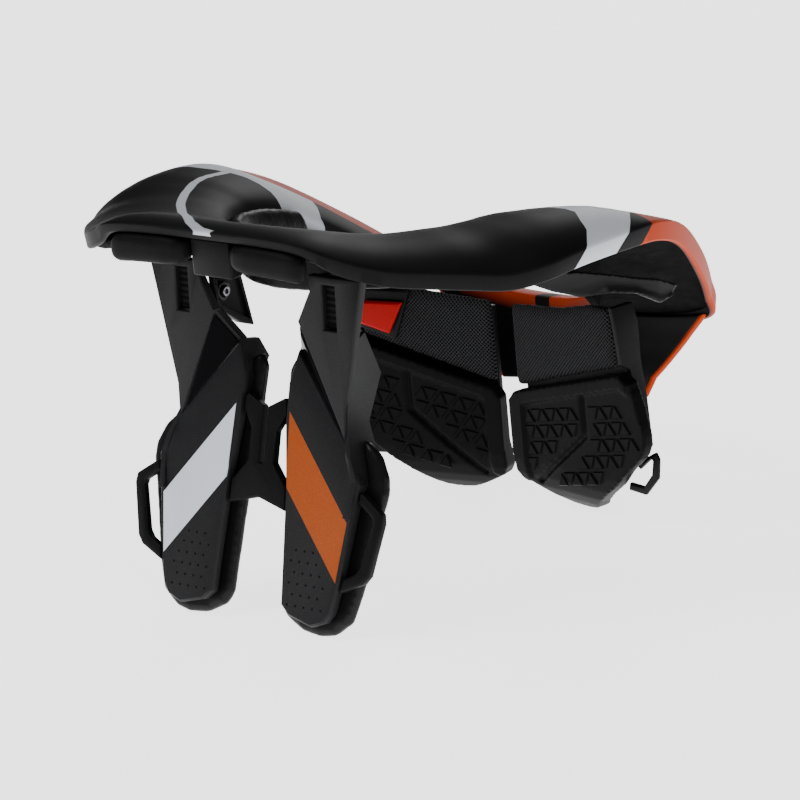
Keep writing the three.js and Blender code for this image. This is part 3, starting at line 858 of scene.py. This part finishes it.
def build_collar():
    places = [k / COLLAR_STEPS for k in range(LAST * COLLAR_STEPS + 1)]
    half = [collar_section(station_at(place)) for place in places]
    for end in (0, -1):
        half[end] = [(Vector((0, p.y, p.z)), s, d, t) for p, s, d, t in half[end]]
    mirrored = [[(mirror(p), s, d, t) for p, s, d, t in row] for row in half[1:-1]]
    rows = half + mirrored[::-1]
    round_places = places + places[1:-1][::-1]
    count = len(half[0])
    verts, across, drop, printed, around = [], [], [], [], []
    for row, place in zip(rows, round_places):
        for p, s, d, t in row:
            verts.append(metres(p))
            across.append(s)
            drop.append(d * MM)
            printed.append(t)
            around.append(place)
    faces = []
    total = len(rows)
    for r in range(total):
        for i in range(count):
            a, b = r * count + i, r * count + (i + 1) % count
            c, d = ((r + 1) % total) * count + (i + 1) % count, ((r + 1) % total) * count + i
            faces.append((a, d, c, b))
    piece = new_piece("collar", verts, faces, "collar", 42)
    for name, values in (("across", across), ("drop", drop), ("printed", printed), ("round", around)):
        layer = piece.data.attributes.new(name, "FLOAT", "POINT")
        layer.data.foreach_set("value", values)
    piece.data.materials.append(finish_of("lining"))
    for polygon in piece.data.polygons:
        if all(not printed[i] for i in polygon.vertices) and polygon.normal.z < -0.2:
            polygon.material_index = 1
    outward(piece)
    return piece


def outward(piece):
    made = bmesh.new()
    made.from_mesh(piece.data)
    bmesh.ops.recalc_face_normals(made, faces=made.faces)
    made.to_mesh(piece.data)
    made.free()


# The shield at the back, from the collar's rear edge down: height, half width, place of its sides and middle.
SHIELD_ROWS = [
    (93, 89, 253, 273),
    (84, 78, 255, 272),
    (71, 65, 256, 270),
    (57, 52, 256, 267),
    (44, 46, 255, 264),
]
SHIELD_WALL = 3.5


def build_shield():
    """The shield as one sheet with a wall, its edge rounded, and a thin orange line along its sides."""
    verts, faces, sides = [], [], []
    fine = 4
    rows = []
    for (z0, h0, s0, m0), (z1, h1, s1, m1) in zip(SHIELD_ROWS, SHIELD_ROWS[1:]):
        for k in range(fine):
            f = k / fine
            rows.append((z0 + (z1 - z0) * f, h0 + (h1 - h0) * f, s0 + (s1 - s0) * f, m0 + (m1 - m0) * f))
    rows.append(SHIELD_ROWS[-1])
    parts = 32
    top, bottom = SHIELD_ROWS[0][0], SHIELD_ROWS[-1][0]
    for z, half, side, middle in rows:
        for k in range(parts + 1):
            s = 2 * k / parts - 1
            crest = min(80.5 + 0.0016 * (s * half) ** 2, top)
            height = bottom + (z - bottom) * (crest - bottom) / (top - bottom)
            verts.append(metres((s * half, middle + (side - middle) * s * s - SHIELD_WALL / 2, height)))
            sides.append(abs(s))
    for r in range(len(rows) - 1):
        for k in range(parts):
            a = r * (parts + 1) + k
            faces.append((a, a + 1, a + parts + 2, a + parts + 1))
    piece = new_piece("rear_shield", verts, faces, "shield", 60)
    layer = piece.data.attributes.new("side", "FLOAT", "POINT")
    layer.data.foreach_set("value", sides)
    wall = piece.modifiers.new("wall", "SOLIDIFY")
    wall.thickness = SHIELD_WALL * MM
    wall.offset = 0
    edge = piece.modifiers.new("edge", "BEVEL")
    edge.width = 1.1 * MM
    edge.segments = 3
    edge.limit_method = "ANGLE"
    baked(piece)
    piece.data.shade_smooth()
    piece.data.set_sharp_from_angle(angle=math.radians(50))
    return piece


# Operators


def make_collar(brace):
    collar = build_collar()
    shield = build_shield()
    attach(shield, BODY)
    settled(collar, "collar_shell", "shell")
    for node in ("under_tray", "front_bridge"):
        rounded_plate(node + "_dressed", node, "lining" if node == "under_tray" else "plate", "shell", 1.0, 2)


def make_liner(brace):
    soft_copy("neck_liner_pad", "neck_liner", "liner", "liner", 1.4, 16, 0.5, 2.0, 0.8)


def make_legs(brace):
    for side in SIDES:
        rounded_plate("leg_" + side, "chest_leg_" + side, "leg", "plate", brace.plate_edge / MM, 3)
        rounded_plate("window_" + side, "leg_window_" + side, "window", "window", 0.3, 2)
        rounded_plate("loop_front_" + side, "chest_loop_" + side, "plate", "plate", 0.9, 3)
        rounded_plate("bracket_" + side, "leg_bracket_" + side, "plate", "plate", 0.5, 2)
    rounded_plate("link_plate", "centre_link", "plate", "plate", 0.8, 3)


# The dark bar at the back of each stem's slot: its X, then front, back and height of its lower and upper end.
SLOT_BAR_X = (42.1, 49.4)
SLOT_BAR_LOW = (-106.9, -105.8, 142.6)
SLOT_BAR_HIGH = (-105.6, -104.5, 163.2)
SLOT_BAR_RIBS = 14
SLOT_BAR_RIB = 0.5


def make_slot_bars(brace):
    """A dark ribbed bar at the back of each stem's slot."""
    for side in SIDES:
        sign = 1 if side == "left" else -1
        verts, faces = [], []
        for k in range(SLOT_BAR_RIBS + 1):
            share = k / SLOT_BAR_RIBS
            ends = zip(SLOT_BAR_LOW, SLOT_BAR_HIGH)
            front, back, z = (low + (high - low) * share for low, high in ends)
            front -= SLOT_BAR_RIB if k % 2 else 0
            for y in (front, back):
                for x in SLOT_BAR_X:
                    verts.append((sign * x * MM, y * MM, z * MM))
        for k in range(SLOT_BAR_RIBS):
            a, b = 4 * k, 4 * k + 4
            faces.append((a, a + 1, b + 1, b))
            faces.append((a + 1, a + 3, b + 3, b + 1))
            faces.append((a + 3, a + 2, b + 2, b + 3))
            faces.append((a + 2, a, b, b + 2))
        last = 4 * SLOT_BAR_RIBS
        faces.append((0, 2, 3, 1))
        faces.append((last, last + 1, last + 3, last + 2))
        bar = new_piece("slot_bar_" + side, verts, faces, "foam", 30)
        outward(bar)
        settled(bar, None, "plate")


def leg_point(x, slope, lift):
    p = Vector(LEG_ORIGIN) + Vector(LEG_UP) * slope + Vector(LEG_OUT) * lift
    return metres((x, p.y, p.z))


VENT_ROWS = 6
VENT_COLUMNS = 5
VENT_PITCH = 5.2
VENT_START = (26, 15.5)
VENT_OUTER = 49
VENT_CLEAR = 5


def make_vents(brace):
    """Rows of small vents in the lower end of each leg plate, clear of the band: near-black discs of painted
    shade, not holes.
    """
    radius = brace.vent_size / MM
    for side in SIDES:
        sign = 1 if side == "left" else -1
        points = []
        for row in range(VENT_ROWS):
            slope = VENT_START[1] + row * VENT_PITCH
            for column in range(VENT_COLUMNS):
                x = VENT_START[0] + (column + (row % 2) / 2) * VENT_PITCH
                if x < VENT_OUTER and slope < BAND_LOWER[0] - VENT_CLEAR - BAND_LOWER[1] * x:
                    points.append(leg_point(sign * x, slope, 0.02))
        facing = [Vector(LEG_OUT)] * len(points)
        turns = [0.0] * len(points)
        stamped("vents_" + side, points, facing, turns, 12, radius, 0.12, 0.5, "vent")


def make_chest_pads(brace):
    for side in SIDES:
        soft_copy("chest_pad_foam_" + side, "chest_pad_" + side, "flap", "pad", 1.3, 5)


def make_front_pads(brace):
    for side in SIDES:
        soft_copy("front_pad_foam_" + side, "front_pad_" + side, "foam", "pad", 1.5, 6, 0.3, 2.0, 0.8)


def make_shoulder_pads(brace):
    for side in SIDES:
        soft_copy("shoulder_pad_foam_" + side, "shoulder_pad_" + side, "flap", "pad", 0.9, 3)


def rear_point(sign, across, z, lift):
    p = Vector(REAR_ORIGIN) + Vector(REAR_ACROSS) * across + Vector(REAR_OUT) * lift
    return metres((sign * p.x, p.y, z))


def make_rear_pads(brace):
    for side in SIDES:
        soft_copy("rear_pad_rubber_" + side, "rear_pad_" + side, "rubber", "pad", 0.95, 3)
        soft_copy("mesh_pad_" + side, "mesh_panel_" + side, "mesh", "mesh", 1.6, 6, 0.5, 1.5, 1.0)


# The relief of triangles covers these two fields of each rear pad, along the panel and upward.
RELIEF_FIELDS = [
    [(16, 50), (53, 60), (53, 47), (16, 17)],
    [(61, 62), (84, 68), (94, 48), (92, 42), (76, 28), (60, 17), (48, 15), (32, 14), (61, 38)],
]
RELIEF_PITCH = (5.4, 8.4)


def inside(polygon, p):
    odd = False
    for (x0, y0), (x1, y1) in zip(polygon, polygon[1:] + polygon[:1]):
        if (y0 > p[1]) != (y1 > p[1]) and p[0] < (x1 - x0) * (p[1] - y0) / (y1 - y0) + x0:
            odd = not odd
    return odd


def make_relief(brace):
    """Raised triangles on the rear pads: a tiling with gaps, point up and point down in turn."""
    radius = brace.relief_size / MM
    rise = radius / 4
    for side in SIDES:
        sign = 1 if side == "left" else -1
        out = Vector((REAR_OUT[0] * sign, REAR_OUT[1], 0))
        along = Vector((-out.y, out.x, 0))
        level = out.to_track_quat("Z", "Y") @ Vector((1, 0, 0))
        turn = math.atan2(level.z, level.dot(along))
        points, turns = [], []
        for row in range(8):
            for column in range(16):
                up = (row + column) % 2
                a = 17 + column * RELIEF_PITCH[0]
                z = 12 + row * RELIEF_PITCH[1] + 0.2 * (a - 50) + (-rise if up else rise)
                if any(inside(field, (a, z)) for field in RELIEF_FIELDS):
                    points.append(rear_point(sign, a, z, 2.1))
                    turns.append((math.pi / 2 if up else -math.pi / 2) - turn)
        facing = [out] * len(points)
        stamped("relief_" + side, points, facing, turns, 3, radius, 0.7, radius * 0.78, "rubber")


def make_rear_frame(brace):
    for side in SIDES:
        rounded_plate("strut_" + side, "rear_strut_" + side, "plate", "plate", brace.strut_edge / MM, 3)
        rounded_plate("loop_rear_" + side, "rear_loop_" + side, "plate", "plate", 0.8, 3)


def make_clip(brace):
    rounded_plate("clip_plate", "clip_base_right", "plate", "plate", 0.7, 3)
    rounded_plate("clip", "release_clip_right", "clip", "clip", 0.8, 3)


def make_bolts(brace):
    for side in SIDES:
        rounded_plate("washer_" + side, "bolt_washer_" + side, "blued", "steel", 0.25, 2)
        rounded_plate("bolt_head_" + side, "bolt_" + side, "steel", "steel", 0.3, 2)


# Stitches on each half of the liner, a step apart along the collar's stations.
STITCHES = 212
STITCH_STEP = 0.05


def make_stitches(brace):
    """Stitches along the top welt of the neck liner."""
    points, facing, turns = [], [], []
    for k in range(STITCHES):
        place = k * STITCH_STEP
        station = station_at(place)
        top = on_top(station, 1)
        p = top + station["inward"] * 6.6
        p.z -= 2.2
        run = math.atan2(station["inward"].x, -station["inward"].y)
        for sign in (1, -1):
            if place == 0 and sign < 0:
                continue
            points.append(metres((sign * p.x, p.y, p.z)))
            n = Vector((station["inward"].x * sign, station["inward"].y, 1.2)).normalized()
            facing.append(n)
            turns.append(sign * run)
    stamped("liner_stitches", points, facing, turns, 4, 0.5, 0.3, 0.25, "thread")


def make_stage(brace):
    """Pale floor, soft lights and the camera."""
    size = 7.0
    verts = [(-size, -size, 0), (size, -size, 0), (size, size, 0), (-size, size, 0)]
    floor = new_piece("studio_floor", verts, [(0, 1, 2, 3)], "floor", 60)
    world = bpy.data.worlds.new("studio")
    world.use_nodes = True
    world.node_tree.nodes["Background"].inputs[0].default_value = (1, 1, 1, 1)
    world.node_tree.nodes["Background"].inputs[1].default_value = brace.sky
    bpy.context.scene.world = world
    lights = [
        ("key", (-1.0, -1.2, 1.9), 0.9, 26 * brace.light),
        ("side", (1.9, -0.9, 1.0), 0.6, 9 * brace.light),
        ("top", (-0.3, 0.1, 2.2), 1.8, 11 * brace.light),
        ("rim", (-0.9, 1.9, 1.1), 0.7, 14 * brace.light),
    ]
    for name, place, wide, power in lights:
        lamp = bpy.data.lights.new(name, "AREA")
        lamp.shape = "SQUARE"
        lamp.size = wide
        lamp.energy = power
        made = bpy.data.objects.new(name, lamp)
        bpy.context.scene.collection.objects.link(made)
        made.location = place
        made.rotation_euler = (Vector((0, 0, 0.1)) - Vector(place)).to_track_quat("-Z", "Y").to_euler()
    lens = bpy.data.cameras.new("camera")
    lens.lens = CAMERA_LENS
    lens.sensor_width = 36
    lens.sensor_fit = "HORIZONTAL"
    lens.clip_start = 0.05
    lens.clip_end = 50
    camera = bpy.data.objects.new("camera", lens)
    bpy.context.scene.collection.objects.link(camera)
    turn = Matrix([CAMERA_RIGHT, CAMERA_UP, CAMERA_BACK]).transposed().to_4x4()
    camera.matrix_world = Matrix.Translation(Vector(CAMERA_PLACE)) @ turn
    bpy.context.scene.camera = camera


class BRACE_OT_stage(bpy.types.Operator):
    """Floor, lights and camera"""

    bl_idname = "brace.stage"
    bl_label = "Stage"
    bl_options = {"REGISTER", "UNDO"}

    def execute(self, context):
        make_stage(context.scene.neck_brace_sizes)
        return {"FINISHED"}


class BRACE_OT_collar(bpy.types.Operator):
    """The ring shell with its printed bands, the shield and the tray"""

    bl_idname = "brace.collar"
    bl_label = "Collar"
    bl_options = {"REGISTER", "UNDO"}

    def execute(self, context):
        make_collar(context.scene.neck_brace_sizes)
        return {"FINISHED"}


class BRACE_OT_liner(bpy.types.Operator):
    """The padded strip inside the neck opening"""

    bl_idname = "brace.liner"
    bl_label = "Neck liner"
    bl_options = {"REGISTER", "UNDO"}

    def execute(self, context):
        make_liner(context.scene.neck_brace_sizes)
        return {"FINISHED"}


class BRACE_OT_legs(bpy.types.Operator):
    """Leg plates, windows, brackets, strap loops and the link"""

    bl_idname = "brace.legs"
    bl_label = "Legs"
    bl_options = {"REGISTER", "UNDO"}

    def execute(self, context):
        make_legs(context.scene.neck_brace_sizes)
        return {"FINISHED"}


class BRACE_OT_slot_bars(bpy.types.Operator):
    """Dark bars at the back of the slots in the stems"""

    bl_idname = "brace.slot_bars"
    bl_label = "Slot bars"
    bl_options = {"REGISTER", "UNDO"}

    def execute(self, context):
        make_slot_bars(context.scene.neck_brace_sizes)
        return {"FINISHED"}


class BRACE_OT_vents(bpy.types.Operator):
    """Small vents in the leg plates, as discs of painted shade"""

    bl_idname = "brace.vents"
    bl_label = "Vents"
    bl_options = {"REGISTER", "UNDO"}

    def execute(self, context):
        make_vents(context.scene.neck_brace_sizes)
        return {"FINISHED"}


class BRACE_OT_chest_pads(bpy.types.Operator):
    """Moulded foam behind the legs"""

    bl_idname = "brace.chest_pads"
    bl_label = "Chest pads"
    bl_options = {"REGISTER", "UNDO"}

    def execute(self, context):
        make_chest_pads(context.scene.neck_brace_sizes)
        return {"FINISHED"}


class BRACE_OT_front_pads(bpy.types.Operator):
    """Foam pads under the collar's front edge"""

    bl_idname = "brace.front_pads"
    bl_label = "Front pads"
    bl_options = {"REGISTER", "UNDO"}

    def execute(self, context):
        make_front_pads(context.scene.neck_brace_sizes)
        return {"FINISHED"}


class BRACE_OT_shoulder_pads(bpy.types.Operator):
    """Curved rubber flaps under the rear sides"""

    bl_idname = "brace.shoulder_pads"
    bl_label = "Shoulder pads"
    bl_options = {"REGISTER", "UNDO"}

    def execute(self, context):
        make_shoulder_pads(context.scene.neck_brace_sizes)
        return {"FINISHED"}


class BRACE_OT_rear_pads(bpy.types.Operator):
    """Moulded pads and mesh panels at the back"""

    bl_idname = "brace.rear_pads"
    bl_label = "Rear pads"
    bl_options = {"REGISTER", "UNDO"}

    def execute(self, context):
        make_rear_pads(context.scene.neck_brace_sizes)
        return {"FINISHED"}


class BRACE_OT_relief(bpy.types.Operator):
    """Raised triangles on the rear pads"""

    bl_idname = "brace.relief"
    bl_label = "Relief"
    bl_options = {"REGISTER", "UNDO"}

    def execute(self, context):
        make_relief(context.scene.neck_brace_sizes)
        return {"FINISHED"}


class BRACE_OT_rear_frame(bpy.types.Operator):
    """Struts and strap loops at the back"""

    bl_idname = "brace.rear_frame"
    bl_label = "Rear frame"
    bl_options = {"REGISTER", "UNDO"}

    def execute(self, context):
        make_rear_frame(context.scene.neck_brace_sizes)
        return {"FINISHED"}


class BRACE_OT_clip(bpy.types.Operator):
    """The red clip and its base"""

    bl_idname = "brace.clip"
    bl_label = "Release clip"
    bl_options = {"REGISTER", "UNDO"}

    def execute(self, context):
        make_clip(context.scene.neck_brace_sizes)
        return {"FINISHED"}


class BRACE_OT_bolts(bpy.types.Operator):
    """Bolts and washers of the brackets"""

    bl_idname = "brace.bolts"
    bl_label = "Bolts"
    bl_options = {"REGISTER", "UNDO"}

    def execute(self, context):
        make_bolts(context.scene.neck_brace_sizes)
        return {"FINISHED"}


class BRACE_OT_stitches(bpy.types.Operator):
    """Stitches along the liner's welt"""

    bl_idname = "brace.stitches"
    bl_label = "Stitches"
    bl_options = {"REGISTER", "UNDO"}

    def execute(self, context):
        make_stitches(context.scene.neck_brace_sizes)
        return {"FINISHED"}


def length(name, description, default, low, high):
    """A length of the settings, in metres."""
    return bpy.props.FloatProperty(
        name=name, description=description, default=default, min=low, max=high, unit="LENGTH"
    )


def strength(name, description, default, high):
    """A light level of the settings."""
    return bpy.props.FloatProperty(
        name=name, description=description, default=default, min=0, max=high, subtype="UNSIGNED"
    )


def paint(name, description, default):
    """A colour of the settings."""
    return bpy.props.FloatVectorProperty(
        name=name, description=description, default=default, min=0, max=1, subtype="COLOR"
    )


class NeckBraceSizes(bpy.types.PropertyGroup):
    """Sizes and light levels that a user would change."""

    plate_edge: length("Plate edge", "Rounding of the leg plates' edges", 0.0008, 0.0001, 0.002)
    strut_edge: length("Strut edge", "Rounding of the struts' edges", 0.0008, 0.0001, 0.002)
    relief_size: length("Relief size", "Radius of a raised triangle", 0.0046, 0.001, 0.006)
    vent_size: length("Vent size", "Radius of a vent in the leg plates", 0.00062, 0.0002, 0.0015)
    light: strength("Light", "Strength of the soft lights", 1.0, 5)
    sky: strength("Sky", "Strength of the light from all round", 0.08, 3)


class NeckBraceColours(bpy.types.PropertyGroup):
    """The main colours of the prints and the clip."""

    black: paint("Black", "The collar's ground colour", (0.0035, 0.0035, 0.004))
    white: paint("White", "The white bands", (0.50, 0.52, 0.56))
    orange: paint("Orange", "The orange bands", (0.36, 0.028, 0.0))
    decal: paint("Decal", "The metallic orange of the left leg", (0.30, 0.055, 0.008))
    clip: paint("Clip", "The release clip's red", (0.30, 0.0003, 0.0012))


OPERATORS = [
    BRACE_OT_stage,
    BRACE_OT_collar,
    BRACE_OT_liner,
    BRACE_OT_legs,
    BRACE_OT_slot_bars,
    BRACE_OT_vents,
    BRACE_OT_chest_pads,
    BRACE_OT_front_pads,
    BRACE_OT_shoulder_pads,
    BRACE_OT_rear_pads,
    BRACE_OT_relief,
    BRACE_OT_rear_frame,
    BRACE_OT_clip,
    BRACE_OT_bolts,
    BRACE_OT_stitches,
]


class BRACE_PT_panel(bpy.types.Panel):
    """The list of pieces in the sidebar."""

    bl_label = "Neck brace"
    bl_idname = "BRACE_PT_panel"
    bl_space_type = "VIEW_3D"
    bl_region_type = "UI"
    bl_category = "Neck brace"

    def draw(self, context):
        for group in (context.scene.neck_brace_sizes, context.scene.neck_brace_colours):
            for name in group.__annotations__:
                self.layout.prop(group, name)
        for step in OPERATORS:
            self.layout.operator(step.bl_idname)


CLASSES = [NeckBraceSizes, NeckBraceColours, *OPERATORS, BRACE_PT_panel]


def register():
    for made in CLASSES:
        bpy.utils.register_class(made)
    bpy.types.Scene.neck_brace_sizes = bpy.props.PointerProperty(type=NeckBraceSizes)
    bpy.types.Scene.neck_brace_colours = bpy.props.PointerProperty(type=NeckBraceColours)


def unregister():
    del bpy.types.Scene.neck_brace_colours
    del bpy.types.Scene.neck_brace_sizes
    for made in reversed(CLASSES):
        bpy.utils.unregister_class(made)


def main():
    register()
    bpy.ops.brace.stage()
    bpy.ops.brace.collar()
    bpy.ops.brace.liner()
    bpy.ops.brace.legs()
    bpy.ops.brace.slot_bars()
    bpy.ops.brace.vents()
    bpy.ops.brace.chest_pads()
    bpy.ops.brace.front_pads()
    bpy.ops.brace.shoulder_pads()
    bpy.ops.brace.rear_pads()
    bpy.ops.brace.relief()
    bpy.ops.brace.rear_frame()
    bpy.ops.brace.clip()
    bpy.ops.brace.bolts()
    bpy.ops.brace.stitches()


if __name__ == "__main__":
    main()
